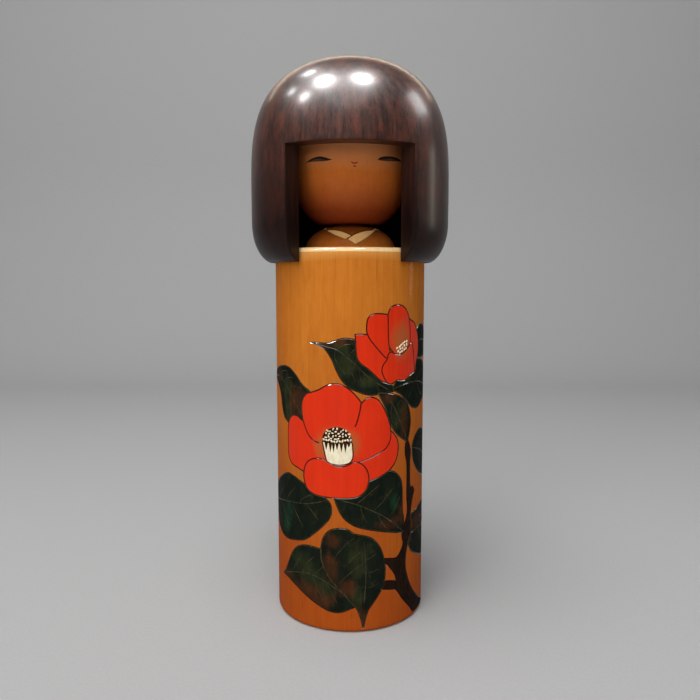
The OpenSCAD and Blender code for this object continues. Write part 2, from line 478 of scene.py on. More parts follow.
    # The heart-shaped leaf in front of it, with its tip hanging to the base.
    leaf(d, [(1.9, 52.5), (6.8, 51.4), (10.6, 50), (13.7, 47.3), (15.9, 44), (17.3, 40.4),
             (18.3, 36.4), (18.8, 32), (18.5, 27), (17.1, 22.6), (12.4, 15.6), (9.9, 12.5),
             (8.3, 8.4), (6.8, 1.9), (5.6, 7.2), (3.6, 12.6), (-0.1, 17.2), (-5.8, 23.8),
             (-9.6, 27.6), (-12.4, 32), (-14.4, 36), (-15.2, 41), (-14.9, 46.3), (-13.7, 50.2),
             (-11.2, 53.3), (-8, 54.8), (-3.9, 55.2), (-0.6, 54.4)],
         (0, 13), [(7, 49), (7.9, 38), (8, 28), (7.2, 15)],
         [[(2.6, 50.8), (-2.4, 46.6), (-6.6, 41.6), (-7.8, 38.6)],
          [(7.9, 37.6), (3.4, 34.6), (-2, 30.2), (-5.6, 26)],
          [(7.9, 26), (5, 22.4), (1.4, 18.8)], [(7.9, 38.4), (11.6, 40), (14.6, 42.6)],
          [(8, 32), (11.6, 32), (15.8, 33.6)], [(7.9, 24), (11, 24), (14.6, 25.4)],
          [(7.5, 44), (2.6, 41), (-1.4, 36.6)]])


def draw_large_flower(d):
    """The open camellia: five petals round a cup of stamens."""
    # lower right petal, the furthest back
    d.area("petal", [(18, 104), (21.6, 104.2), (24, 101.9), (25.8, 99.2), (26.6, 95.4), (26, 91.3),
                     (24.4, 87.5), (21.3, 84.3), (17.5, 82.2), (13.8, 80.6), (7, 78.6), (0, 84)],
           corners=(0, 10, 11))
    # left petal
    d.area("petal", [(-37.2, 101), (-36.9, 105.5), (-35.4, 108.7), (-33, 110.8), (-30, 111),
                     (-27, 109.6), (-20, 106), (-12, 98), (-10, 92), (-14, 86), (-25, 82.6),
                     (-29.5, 84), (-33, 84.9), (-35.7, 87), (-37.1, 90.4)], corners=(6, 10))
    # right petal
    d.area("petal", [(2.4, 107), (4.2, 112.5), (5, 116.8), (6, 119.4), (8.2, 121.5), (11, 122.1),
                     (13.9, 120.9), (16.6, 117.6), (18.6, 114), (20.3, 110), (21.6, 105),
                     (21.4, 100), (19.2, 96), (15.8, 93.8), (12.2, 92.1), (8.1, 90.5), (4.4, 89.4),
                     (-2, 92)], corners=(0, 16, 17))
    # top petal
    d.area("petal", [(-26.2, 115.6), (-25.6, 120), (-23.2, 123), (-20, 124.1), (-16, 125.6),
                     (-12.2, 127.8), (-8.4, 128.9), (-4.8, 128.7), (-1, 126.7), (2.6, 123.4),
                     (5.6, 119.7), (4.6, 114), (2.4, 107.4), (-3, 101), (-12, 98.4), (-18.2, 99.2),
                     (-21.4, 101.4), (-23.8, 105.2), (-25.6, 110)], corners=(10, 13))
    # The petals run together round the cup, without a line between them.
    d.area("petal", [(-16.6, 98.2), (-15, 103.4), (-11, 107.6), (-6.5, 109), (-2, 108.8), (2.5, 108.1),
                     (4.2, 103), (4, 97), (3.2, 91.5), (2.6, 87), (-4.6, 84), (-14.7, 88),
                     (-17.8, 91.4), (-17.6, 95)], cut=NO_CUT)
    # front petal
    d.area("petal", [(-25.2, 80), (-24.7, 84.8), (-22.9, 88), (-19.6, 90.1), (-15.6, 90.7),
                     (-11.8, 89.6), (-8.2, 87.7), (-4.6, 86.9), (-1, 88), (1.9, 89.5), (4.4, 89.3),
                     (6.9, 87.6), (8.8, 84.8), (9.6, 81), (9, 77), (7.3, 74.1), (4.4, 71.9),
                     (0.4, 71), (-9, 70.9), (-17, 71.4), (-21, 72.7), (-23.8, 75.4)])
    draw_stamens(d)


CAP_CENTRE, CAP_SIZE = (-6.5, 102.4), (7.0, 4.5)  # the anthers' domed cap
SMALL_CUP = (25.3, 145.7)  # the first anther of the small flower
# Tips of the dark gaps between the filaments.
GAP_TIPS = [(-12.1, 95.3), (-9.9, 94.2), (-8.3, 94.1), (-6.5, 95.5), (-4.3, 94.4), (-2.3, 94.3),
            (-0.6, 97)]


def draw_stamens(d):
    """The cream cup of filaments and the dark cap that carries the anthers."""
    d.area("cream", [(-13.7, 99.6), (-13.5, 96.5), (-13, 94), (-12.4, 91.5), (-11.7, 89.6),
                     (-10.1, 88.6), (-8.1, 88.1), (-4.9, 87.9), (-2.1, 88.4), (-0.2, 89.2), (1, 90.6),
                     (1.5, 92.6), (1.4, 95.6), (0.4, 99.8)], cut=(0.34, 0.24))
    d.area("dark", [(-14.2, 100.3), (-14, 102.2), (-13, 104.2), (-11.3, 105.7), (-9.4, 106.7),
                    (-6.8, 107.2), (-4.3, 106.9), (-2.1, 105.9), (-0.6, 104.3), (0.5, 102.4), (1, 100.8),
                    (0.4, 99.2), (-6.5, 98.9), (-13.4, 99.2)], cut=NO_CUT)
    for x, tip in GAP_TIPS:
        waist = tip * 0.5 + 49.2
        d.area("dark", [(x - 0.95, 99.2), (x + 0.95, 99.2), (x + 0.4, waist), (x, tip), (x - 0.4, waist)],
               corners=(0, 1, 3), cut=NO_CUT)


def draw_small_flower(d):
    """The half-open camellia above it, seen from the side."""
    d.area("petal", [(33, 161), (35.6, 159.6), (38.6, 158.2), (41, 155), (42.9, 151), (43.5, 146),
                     (42.9, 141.4), (41, 137), (40, 132.4), (34, 136)], corners=(8, 9))
    d.area("petal", [(19.8, 147), (19.6, 153), (19.9, 159), (19.6, 162.8), (20.8, 165.8),
                     (22.9, 167.3), (26, 167.7), (29.2, 166.9), (31.7, 165), (33.3, 162.4),
                     (34.3, 159), (34.9, 153), (34.9, 147), (27, 140)], corners=(0, 12, 13))
    d.area("petal", [(2.5, 153.5), (6, 153.5), (9, 153), (14, 148), (20, 140), (22.6, 128),
                     (19.1, 128.7), (15.9, 130.1), (12.8, 132.8), (9.1, 136.2), (5.3, 139.1),
                     (3.7, 141.4), (3, 145), (2.8, 149.4)], corners=(0, 5))
    d.area("petal", [(19.6, 163), (14.1, 163.5), (10.5, 162.9), (8.8, 161), (8.2, 157.5),
                     (8.4, 154.2), (9.8, 151.2), (12.2, 148.1), (15.3, 144.6), (18.4, 141.4),
                     (21.5, 142), (20.2, 148), (19.8, 156)], corners=(0, 9, 10))
    d.area("petal", [(20.2, 143.6), (19.1, 140.6), (16.9, 137.6), (16.3, 135), (17.2, 132.4),
                     (18.8, 129.6), (20.4, 128.2), (22.8, 128.4), (25.3, 129.7), (28.4, 129.3),
                     (31.4, 129.4), (34.1, 130.9), (36.8, 131.8), (39.6, 132.6), (38.8, 138),
                     (38.2, 143), (36.8, 148), (35, 147.6), (32.8, 145.6), (30.3, 143.8),
                     (27.2, 142.7), (24.1, 143.1), (21.8, 144.3)], corners=(13, 16, 22))


def draw_back(d):
    """A twig with a bud and leaves round the back, in the manner of the front."""
    d.area("bough", [(62, 52), (70, 66), (76.5, 82), (82, 98), (86.4, 113), (87.6, 112.6),
                     (84.4, 97.4), (79.4, 81), (73.4, 64.4), (68, 52)], corners=(0, 4, 5, 9))
    leaf(d, [(73, 71), (80, 76), (88, 77.4), (96, 74.6), (103, 68.4), (108, 60), (99, 58.6),
             (90, 59.4), (81, 63.4)],
         (0, 5), [(74, 70.6), (84, 69.6), (95, 66), (107, 60.6)],
         [[(81, 70), (86, 73.8), (92, 74.6)], [(89, 68.4), (94, 71), (99, 70)],
          [(82, 69.9), (86, 65.6), (91.5, 62.4)], [(91, 67.6), (95, 64), (100, 61)]])
    leaf(d, [(82, 98), (76.4, 104), (72.6, 110.6), (71.4, 118), (73.6, 127), (80, 121.6),
             (84.4, 114.6), (85.6, 107)],
         (0, 4), [(82, 99.4), (78.4, 108), (75.4, 117), (74, 125.4)],
         [[(79.6, 105), (81.6, 109.4), (82.4, 114)], [(77, 112), (78.4, 116), (78.4, 120)],
          [(79, 106.6), (75.6, 110.6), (74.2, 114)]])
    leaf(d, [(85.6, 108), (93, 106), (100, 108), (105.4, 113), (109.6, 121), (101, 121.8),
             (93.4, 119.6), (88, 115)],
         (0, 4), [(87, 109.4), (96, 113), (108.6, 120.4)],
         [[(92.4, 111.4), (97, 110.4), (101.6, 111.8)], [(93.6, 112), (96, 116), (99.6, 119.4)]])
    d.area("leaf", [(83, 113), (87, 111.6), (91, 113.4), (92.6, 119), (87.4, 122.6), (82, 118.6)],
           corners=(4,))
    d.area("petal", [(82.6, 118), (81.6, 124.6), (84, 131), (88, 134.8), (91.4, 130.4), (93.2, 124),
                     (91.8, 117.6), (87.2, 120.6)], corners=(3, 6, 7, 0))
    d.line([(87.6, 121.4), (86.4, 126), (87, 130.6), (88, 133.8)], RIB)


# Soft patches in which the paint changes, as (centre, half width and half height).
TINTS = {
    # red paint worn down to brown
    "worn": [((-14, 97), (4.5, 5.5)), ((1.5, 98.5), (3.4, 5.5)), ((-6.5, 104), (7, 3)),
             ((28.4, 149.6), (6, 8.5))],
    # glaze run thin over red-brown wood
    "thin": [((30.5, 108), (3.5, 9)), ((20, 121), (5, 2.5)), ((-30, 118), (6, 9)), ((-50, 130), (7, 3)),
             ((-24.3, 20.5), (11, 4)), ((-39, 24.5), (6, 4)), ((-10, 35), (4, 8)), ((-1.5, 24), (5, 5)),
             ((6.3, 8), (3, 6)), ((-9, 49), (5, 4)), ((-14, 16), (8, 4)), ((-14, 147.6), (6, 2)),
             ((-4, 149.6), (7, 1.8)), ((21, 56), (7, 3)), ((29, 60), (2.5, 6)), ((33, 46), (4, 5)),
             ((44, 52), (9, 5))],
    # olive glaze
    "olive": [((-28, 36), (6, 4)), ((-21, 30), (7, 6)), ((-13.5, 23), (5, 5)), ((4, 38), (6, 9)),
              ((4, 20), (3.5, 6)), ((-4, 147.4), (5, 3)), ((28, 112), (3, 6)), ((24.5, 108), (2.5, 4)),
              ((-37, 113), (3, 6)), ((34, 129), (3, 2.5)), ((94, 68), (7, 4)), ((-2, 139), (6, 6)),
              ((9, 130), (6, 3)), ((-38, 124), (4.5, 7)), ((31, 116), (2.5, 3.5))],
    # bright green glaze, which also stands in for glints of light on the leaves: a painted highlight
    "green": [((-39, 54), (3.2, 7)), ((-36, 60), (2.5, 4)), ((24, 66), (2.4, 4.5)), ((78, 112), (3, 7))],
}


def camellia_drawing():
    """The whole design on the body, from the back forwards."""
    d = Drawing()
    draw_back(d)
    draw_far_leaves(d)
    draw_bough(d)
    draw_leaves(d)
    draw_small_flower(d)
    draw_large_flower(d)
    for kind, patches in TINTS.items():
        for centre, size in patches:
            d.tint(kind, centre, size)
    return d


# ---------------------------------------------------------------- meshes


def finish_mesh(name, bm, body, materials, sharp=35.0):
    """An object from a bmesh in millimetres, smooth except at edges sharper than the angle."""
    bmesh.ops.scale(bm, vec=(MM, MM, MM), verts=bm.verts)
    bmesh.ops.recalc_face_normals(bm, faces=bm.faces)
    mesh = bpy.data.meshes.new(name)
    bm.to_mesh(mesh)
    bm.free()
    mesh.shade_smooth()
    mesh.set_sharp_from_angle(angle=math.radians(sharp))
    piece = bpy.data.objects.new(name, mesh)
    bpy.context.scene.collection.objects.link(piece)
    for material in materials:
        mesh.materials.append(material)
    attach(piece, body)
    return piece


def arc(centre_r, centre_z, semi_r, semi_z, start, end, steps):
    """Profile points (radius, height) along an elliptic arc between two angles in degrees."""
    angles = np.radians(np.linspace(start, end, steps + 1))
    return [(centre_r + semi_r * math.cos(a), centre_z + semi_z * math.sin(a)) for a in angles]


def turn(bm, ring, profile, paint=0):
    """Turns a profile on from a ring of vertices about the Z axis; a radius of zero closes it."""
    angles = [math.atan2(v.co.y, v.co.x) for v in ring]
    for radius, height in profile:
        if radius == 0.0:
            tip = bm.verts.new((0, 0, height))
            made = [bm.faces.new((a, b, tip)) for a, b in zip(ring, ring[1:] + ring[:1])]
        else:
            new = [bm.verts.new((radius * math.cos(a), radius * math.sin(a), height)) for a in angles]
            quads = zip(ring, ring[1:] + ring[:1], new[1:] + new[:1], new)
            made = [bm.faces.new(q) for q in quads]
            ring = new
        for face in made:
            face.material_index = paint
    return ring


def ring_at(bm, radius, height):
    """The vertices of a mesh's open edge at a radius and height, in order round the axis."""
    edge = {v for e in bm.edges if e.is_boundary for v in e.verts}
    found = [
        v for v in edge
        if abs(v.co.z - height) < 1e-3 and abs(math.hypot(v.co.x, v.co.y) - radius) < 1e-3
    ]
    return sorted(found, key=lambda v: math.atan2(v.co.y, v.co.x))


def wrapped(drawing, loops, spacing, keep, paints, place, tints=()):
    """A carved drawing as a bmesh, with each flat point and its depth put in place by place()."""
    sheet, depth, triangles, paint = carve(drawing, loops, spacing, keep, paints)
    bm = bmesh.new()
    layers = [(bm.verts.layers.float.new(kind), tint_values(drawing, kind, sheet)) for kind in tints]
    used = np.unique(triangles)
    verts = {}
    for i in used:
        verts[i] = bm.verts.new(place(sheet[i, 0], sheet[i, 1], depth[i]))
        for layer, values in layers:
            verts[i][layer] = values[i]
    for corners, number in zip(triangles, paint):
        bm.faces.new([verts[i] for i in corners]).material_index = int(number)
    bmesh.ops.remove_doubles(bm, verts=bm.verts, dist=1e-3)
    return bm


def band_loop(half_width, low, high, columns, rows):
    """The edge of a sheet that wraps once round: its two upright sides meet behind."""
    xs = np.linspace(-half_width, half_width, columns + 1)
    ys = np.linspace(low, high, rows + 1)[1:-1]
    return np.vstack([
        np.column_stack([xs, np.full(columns + 1, low)]),
        np.column_stack([np.full(rows - 1, half_width), ys]),
        np.column_stack([xs[::-1], np.full(columns + 1, high)]),
        np.column_stack([np.full(rows - 1, -half_width), ys[::-1]]),
    ])


def within(low, high, half_width, margin=0.8):
    """A test for points that are inside a band and clear of its edges."""

    def keep(points):
        x, y = points.T
        return (np.abs(x) < half_width - margin) & (y > low + margin) & (y < high - margin)

    return keep


# ---------------------------------------------------------------- materials


class Shader:
    """A Principled material and short ways to add nodes to it."""

    def __init__(self, name, **values):
        self.material = bpy.data.materials.new(name)
        self.material.use_nodes = True
        self.tree = self.material.node_tree
        self.main = self.tree.nodes["Principled BSDF"]
        for socket, value in values.items():
            self.main.inputs[socket.replace("_", " ")].default_value = value
        self.place = self.node("ShaderNodeTexCoord").outputs["Object"]

    def node(self, kind, settings=(), **inputs):
        """Adds a node; inputs are values or sockets by name, or by number as i0, i1."""
        made = self.tree.nodes.new(kind)
        for key, value in dict(settings).items():
            setattr(made, key, value)
        for key, value in inputs.items():
            index = int(key[1:]) if key[0] == "i" and key[1:].isdigit() else key.replace("_", " ")
            if isinstance(value, bpy.types.NodeSocket):
                self.tree.links.new(value, made.inputs[index])
            else:
                made.inputs[index].default_value = value
        return made

    def set(self, name, socket):
        """Drives one of the main shader's inputs."""
        self.tree.links.new(socket, self.main.inputs[name])

    def noise(self, scale, stretch=(1.0, 1.0, 1.0), detail=3.0, roughness=0.5, shift=0.0):
        """Noise over the object's own coordinates, stretched along an axis by a scale below one."""
        moved = self.node("ShaderNodeMapping", Vector=self.place, Scale=stretch,
                          Location=(shift, shift, shift)).outputs[0]
        made = self.node("ShaderNodeTexNoise", Vector=moved, Scale=scale, Detail=detail,
                         Roughness=roughness)
        return made.outputs["Fac"]

    def ramp(self, value, low, high, start=0.0, end=1.0):
        """The value taken from the range low..high to start..end, held at both ends."""
        made = self.node("ShaderNodeMapRange", i0=value, i1=low, i2=high, i3=start, i4=end)
        return made.outputs[0]

    def mix(self, share, first, second, blend="MIX"):
        """Two colours mixed by a share."""
        made = self.node("ShaderNodeMix", {"data_type": "RGBA", "blend_type": blend}, i0=share)
        for index, colour in ((6, first), (7, second)):
            if isinstance(colour, bpy.types.NodeSocket):
                self.tree.links.new(colour, made.inputs[index])
            else:
                made.inputs[index].default_value = (*colour, 1.0)
        return made.outputs[2]

    def math(self, operation, first, second=0.0):
        """One arithmetic step."""
        return self.node("ShaderNodeMath", {"operation": operation}, i0=first, i1=second).outputs[0]

    def attribute(self, name):
        """A number stored on the mesh's points."""
        return self.node("ShaderNodeAttribute", {"attribute_name": name}).outputs["Fac"]

    def bump(self, height, strength, distance):
        """Adds fine relief from a height."""
        made = self.node("ShaderNodeBump", Height=height, Strength=strength, Distance=distance)
        self.set("Normal", made.outputs[0])


UPRIGHT = (1.0, 1.0, 0.035)  # grain runs up the doll's axis


def tone(colour, factor):
    """A colour made lighter or darker."""
    return tuple(c * factor for c in colour)


def wood_grain(s, light, dark, fine=620.0):
    """Colour of stained wood, with streaks, mottles, slow bands and short pores; and the pores."""
    streaks = s.ramp(s.noise(fine, UPRIGHT, 4.0, 0.6), 0.3, 0.7)
    mottles = s.ramp(s.noise(240.0, (1.0, 1.0, 0.4), 4.0, 0.65, 11.0), 0.35, 0.68)
    bands = s.ramp(s.noise(45.0, (1.0, 1.0, 0.12), 2.0, 0.5, 3.0), 0.35, 0.65)
    pores = s.ramp(s.noise(fine * 2.2, (1.0, 1.0, 0.05), 2.0, 0.7, 7.0), 0.6, 0.72)
    middle = tuple((a + b) / 2 for a, b in zip(light, dark))
    colour = s.mix(streaks, middle, light)
    colour = s.mix(s.math("MULTIPLY", bands, 0.14), colour, dark)
    colour = s.mix(s.math("MULTIPLY", mottles, 0.32), colour, dark)
    return s.mix(s.math("MULTIPLY", pores, 0.3), colour, tone(dark, 0.5)), pores


def varnished_wood(name, light, dark, deep=None, wear_and_painted_light=None, fine=620.0, coat=0.1):
    """Stained wood under a thin satin varnish.

    deep is (colour, height, height): painted shade, which multiplies the stain by the colour between
    the first height and the second. The argument after it is the same but mixes towards its colour:
    painted light, which makes the wood paler."""
    s = Shader(name, Coat_Weight=coat, Coat_Roughness=0.12, Coat_IOR=1.4, Specular_IOR_Level=0.0)
    colour, pores = wood_grain(s, light, dark, fine)
    height = s.node("ShaderNodeSeparateXYZ", i0=s.place).outputs[2]
    cloud = s.math("SUBTRACT", s.noise(28.0, (1, 1, 0.5), 2.0, 0.5, 9.0), 0.5)
    # painted shade, then painted light, each following the height
    for change, blend in ((deep, "MULTIPLY"), (wear_and_painted_light, "MIX")):
        if change:
            toward, none, full = change
            wavy = s.math("MULTIPLY", cloud, (full - none) * MM * 0.5)
            share = s.ramp(s.math("ADD", height, wavy), none * MM, full * MM)
            colour = s.mix(share, colour, toward, blend)
    s.set("Base Color", colour)
    s.set("Roughness", s.ramp(s.noise(60.0, UPRIGHT, 2.0), 0.3, 0.7, 0.34, 0.46))
    s.bump(pores, 0.1, 0.0001)
    return s.material


def painted(name, colour, deep, wood, worn):
    """Thin paint over wood, streaked by the grain below and worn through where the named tint says so."""
    s = Shader(name, Coat_Weight=0.08, Coat_Roughness=0.14, Specular_IOR_Level=0.1)
    streaks = s.ramp(s.noise(360.0, UPRIGHT, 4.0, 0.6), 0.3, 0.7)
    cloud = s.ramp(s.noise(90.0, (1, 1, 0.6), 3.0), 0.35, 0.7)
    base = s.mix(s.math("MULTIPLY", streaks, 0.5), colour, deep)
    base = s.mix(s.math("MULTIPLY", cloud, 0.35), base, deep)
    ragged = s.math("MULTIPLY", s.noise(520.0, (1, 1, 0.35), 4.0, 0.65, 8.0), 0.9)
    wear_and_painted_light = s.ramp(s.math("ADD", s.attribute(worn), ragged), 0.5, 1.45)
    s.set("Base Color", s.mix(wear_and_painted_light, base, wood))
    s.set("Roughness", s.ramp(cloud, 0.0, 1.0, 0.36, 0.46))
    s.bump(streaks, 0.06, 0.0001)
    return s.material


def leaf_paint(name):
    """Near-black green glaze, in patches olive or thinned to red-brown wood, and greener where a painted
    highlight stands in for glints.
    """
    s = Shader(name, Coat_Weight=0.08, Coat_Roughness=0.12, Specular_IOR_Level=0.0)
    brushed = s.ramp(s.noise(170.0, (1, 1, 0.6), 5.0, 0.7), 0.32, 0.68)
    ragged = s.ramp(s.noise(210.0, (1, 1, 0.7), 5.0, 0.7, 5.0), 0.3, 0.7)
    streaks = s.ramp(s.noise(500.0, UPRIGHT, 3.0, 0.6, 5.0), 0.35, 0.65)
    base = s.mix(brushed, (0.0045, 0.007, 0.005), (0.01, 0.016, 0.009))
    for kind, colour in (
        ("olive", (0.034, 0.042, 0.014)),
        ("green", (0.008, 0.06, 0.026)),
        ("thin", (0.085, 0.026, 0.009)),
    ):
        share = s.ramp(s.math("ADD", s.attribute(kind), ragged), 0.7, 2.0, 0.0, 0.95)
        base = s.mix(share, base, colour)
    s.set("Base Color", s.mix(s.math("MULTIPLY", streaks, 0.35), base, (0.006, 0.005, 0.003)))
    s.set("Roughness", s.ramp(brushed, 0.0, 1.0, 0.26, 0.36))
    s.bump(brushed, 0.08, 0.0002)
    return s.material


def plain_paint(name, colour, shade, roughness=0.4, coat=0.1, polish=0.2):
    """A painted mark with slight brush variation."""
    s = Shader(name, Coat_Weight=coat, Coat_Roughness=polish, Coat_IOR=1.45, Specular_IOR_Level=0.0)
    brushed = s.ramp(s.noise(700.0, (1, 1, 0.4), 3.0), 0.35, 0.65)
    s.set("Base Color", s.mix(brushed, colour, shade))
    s.set("Roughness", s.ramp(brushed, 0.0, 1.0, roughness - 0.05, roughness + 0.05))
    s.bump(brushed, 0.08, 0.0001)
    return s.material


def lacquered_hair(name, coat, gloss, redness):
    """Very dark red-brown wood with fine upright pores under polished lacquer."""
    s = Shader(name, Coat_Weight=coat, Coat_Roughness=0.2, Coat_IOR=1.35, Specular_IOR_Level=gloss)
    streaks = s.ramp(s.noise(420.0, (1, 1, 0.05), 5.0, 0.65), 0.35, 0.7)
    red = s.ramp(s.noise(150.0, (1, 1, 0.5), 5.0, 0.72, 2.0), 0.43, 0.68)
    pores = s.ramp(s.noise(1100.0, (1, 1, 0.06), 2.0, 0.7, 4.0), 0.56, 0.7)
    base = s.mix(streaks, (0.018, 0.008, 0.006), (0.06, 0.022, 0.015))
    base = s.mix(s.math("MULTIPLY", red, redness), base, (0.15, 0.032, 0.013))
    height = s.node("ShaderNodeSeparateXYZ", i0=s.place).outputs[2]
    # painted shade: the colour is darkened towards the lower rim, where less light reaches
    low = s.ramp(height, (BODY_H + 10.0) * MM, FRINGE_Z * MM, 0.9, 0.0)
    base = s.mix(low, base, (0.2, 0.14, 0.13), "MULTIPLY")
    if coat:
        polish = s.ramp(height, (BODY_H + 5.0) * MM, (FRINGE_Z + 15.0) * MM, 0.2, 1.0)
        s.set("Coat Weight", s.math("MULTIPLY", polish, coat))
    s.set("Base Color", s.mix(s.math("MULTIPLY", pores, 0.6), base, (0.003, 0.0015, 0.0015)))
    s.set("Roughness", s.ramp(streaks, 0.0, 1.0, 0.34, 0.42))
    s.bump(s.math("SUBTRACT", 1.0, pores), 0.12, 0.0001)
    return s.material


MATERIALS = {
    # body wood: painted shade darkens and reddens it towards the foot, and painted light makes it paler just
    # under the top edge
    "wood": varnished_wood("body_wood", (0.62, 0.21, 0.025), (0.46, 0.12, 0.014),
                           ((0.66, 0.4, 0.4), 176.0, 20.0), ((0.8, 0.42, 0.12), 189.0, 199.0)),
    # the rounded top edge: a painted highlight, pale where light falls on it, on stain rubbed paler there
    "edge": varnished_wood("painted_highlight_edge", (0.92, 0.66, 0.34), (0.8, 0.5, 0.22), coat=0.9),
    # face wood: painted shade darkens it towards the chin, and painted light makes it paler towards the brow
    "face": varnished_wood("face_wood", (0.78, 0.21, 0.032), (0.6, 0.15, 0.02),
                           ((0.34, 0.24, 0.4), 241.0, 213.0), ((0.86, 0.36, 0.16), 234.0, 254.0),
                           coat=0.2),
    # mound wood: painted shadow darkens it towards its top, under the head
    "dome": varnished_wood("dome_wood", (0.42, 0.13, 0.02), (0.27, 0.07, 0.01),
                           ((0.4, 0.32, 0.32), 197.0, 205.0)),
    "bare": varnished_wood("bare_wood", (0.68, 0.4, 0.16), (0.5, 0.27, 0.09), fine=700.0),
    "hair": lacquered_hair("hair_lacquer", 0.42, 0.13, 0.6),
    # the hollow and the window's walls: painted shade, the same wood without its red patches
    "hollow": lacquered_hair("hair_hollow", 0.0, 0.3, 0.0),
    "cut": plain_paint("carved_line", (0.045, 0.011, 0.003), (0.025, 0.007, 0.002), 0.4, 0.8, 0.12),
    "petal": painted("petal_red", (0.74, 0.032, 0.003), (0.58, 0.017, 0.002), (0.44, 0.095, 0.02), "worn"),
    "petal_cut": plain_paint("petal_line", (0.1, 0.008, 0.003), (0.05, 0.005, 0.002), 0.4, 0.8, 0.12),
    "leaf": leaf_paint("leaf_green"),
    "vein": plain_paint("leaf_line", (0.058, 0.05, 0.02), (0.022, 0.018, 0.007), 0.3, 0.6, 0.12),
    "bough": plain_paint("bough_black", (0.008, 0.005, 0.003), (0.022, 0.008, 0.004), 0.34),
    "cream": plain_paint("cream_paint", (0.88, 0.8, 0.6), (0.78, 0.68, 0.46), 0.5),
    "dark": plain_paint("anther_brown", (0.05, 0.014, 0.004), (0.025, 0.008, 0.003), 0.45),
    "eye": plain_paint("eye_grey", (0.12, 0.075, 0.05), (0.07, 0.042, 0.028), 0.4),
    "ink": plain_paint("ink_line", (0.02, 0.011, 0.006), (0.035, 0.018, 0.01), 0.4),
    "lip": plain_paint("lip_red", (0.2, 0.028, 0.008), (0.14, 0.02, 0.006), 0.4),
}


def materials(names):
    """The materials in the order of their names."""
    return [MATERIALS[name] for name in names]


# ---------------------------------------------------------------- body

BODY_PAINTS = ["wood", "cut", "petal", "petal_cut", "leaf", "vein", "bough", "cream", "dark", "edge"]
BODY_TINTS = ("worn", "thin", "olive", "green")


def on_body(x, y, depth=0.0):
    """The point of the body's surface that a flat point of the drawing is wrapped onto."""
    turned, radius = x / BODY_R, BODY_R - depth
    return (radius * math.sin(turned), -radius * math.cos(turned), y)


def build_body():
    """The column with the camellia branch carved and painted round it."""
    half = math.pi * BODY_R
    low, high = BODY_EDGE, BODY_H - BODY_EDGE
    loop = band_loop(half, low, high, 160, 110)
    keep = within(low, high, half)
    bm = wrapped(camellia_drawing(), [loop], 1.8, keep, BODY_PAINTS, on_body, BODY_TINTS)
    inner = BODY_R - BODY_EDGE
    bottom = DOWEL_LOW - BORE_GAP
    # the top edge's rounding takes the pale edge paint, a painted highlight
    edge = BODY_PAINTS.index("edge")
    rim = turn(bm, ring_at(bm, BODY_R, high), arc(inner, high, BODY_EDGE, BODY_EDGE, 0, 90, 6)[1:], edge)
    turn(bm, rim, [(DOME_R, BODY_H), (DOWEL_R, BODY_H), (DOWEL_R, bottom), (0.0, bottom)])
    foot = arc(inner, low, BODY_EDGE, BODY_EDGE, 0, -90, 6)[1:]
    turn(bm, ring_at(bm, BODY_R, low), foot + [(0.0, 0.0)])
    piece = finish_mesh("carved_body", bm, "body", materials(BODY_PAINTS), 26.0)
    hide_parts("body_column")


def add_bead(bm, x, y, radius, height, long, lean):
    """A low bump of thick paint at a flat point of the drawing, longer than wide and leaning."""
    centre = Vector(on_body(x, y))
    outward = Vector((centre.x, centre.y, 0.0))
    turned = outward.to_track_quat("Z", "Y").to_matrix().to_4x4() @ Matrix.Rotation(lean, 4, "Z")
    size = Matrix.Diagonal((radius, radius * long, height, 1.0))
    place = Matrix.Translation(centre) @ turned @ size
    bmesh.ops.create_uvsphere(bm, u_segments=9, v_segments=6, radius=1.0, matrix=place)


def build_stamens():
    """The raised cream anthers of both flowers."""
    rng = random.Random(4)
    bm = bmesh.new()
    (cx, cy), (rx, ry) = CAP_CENTRE, CAP_SIZE
    placed = []
    for i in range(11):
        share = 2 * i / 10 - 1
        placed.append((cx + rx * 0.98 * share, cy - 2.7 + 1.1 * abs(share) + rng.uniform(-0.25, 0.25)))
        add_bead(bm, *placed[-1], 0.48, 0.4, rng.uniform(1.4, 2.0), rng.uniform(0, math.pi))
    while len(placed) < 36:
        turned, out = rng.uniform(0, 2 * math.pi), math.sqrt(rng.random())
        x, y = cx + rx * 0.95 * out * math.cos(turned), cy + ry * 0.92 * out * math.sin(turned)
        if y > cy - 2 and all(math.hypot(x - a, y - b) > 1.35 for a, b in placed):
            placed.append((x, y))
            add_bead(bm, x, y, rng.uniform(0.34, 0.46), 0.34, rng.uniform(1.3, 2.1), rng.uniform(0, math.pi))
    for row in range(3):
        for i in range(6 - row):
            x = SMALL_CUP[0] + 1.35 * i + row + rng.uniform(-0.3, 0.3)
            y = SMALL_CUP[1] + 0.72 * i - 1.15 * row + rng.uniform(-0.3, 0.3)
            add_bead(bm, x, y, 0.41, 0.34, 1.8, math.radians(rng.uniform(-45, -15)))
    finish_mesh("camellia_stamens", bm, "body", materials(["cream"]))


# ---------------------------------------------------------------- shoulder mound

DOME_PAINTS = ["dome", "cut", "bare"]
DOME_TOP_Z = CHIN_Z - NECK_H
UNDERCUT = 0.4  # the joint below the mound, which shows as a dark line


def dome_profile():
    """The mound's outline from its flat top down to the body: radius, height, distance from the axis."""
    semi_z = (DOME_TOP_Z - BODY_H) / math.sqrt(1 - (DOME_FLAT_R / DOME_R) ** 2)
    start = math.degrees(math.acos(DOME_FLAT_R / DOME_R))
    end = math.degrees(math.asin(UNDERCUT / semi_z))
    curve = np.array(arc(0.0, BODY_H, DOME_R, semi_z, start, end, 60))
    along = DOME_FLAT_R + np.cumsum(np.linalg.norm(np.diff(curve, axis=0, prepend=curve[:1]), axis=1))
    return curve[:, 0], curve[:, 1], along


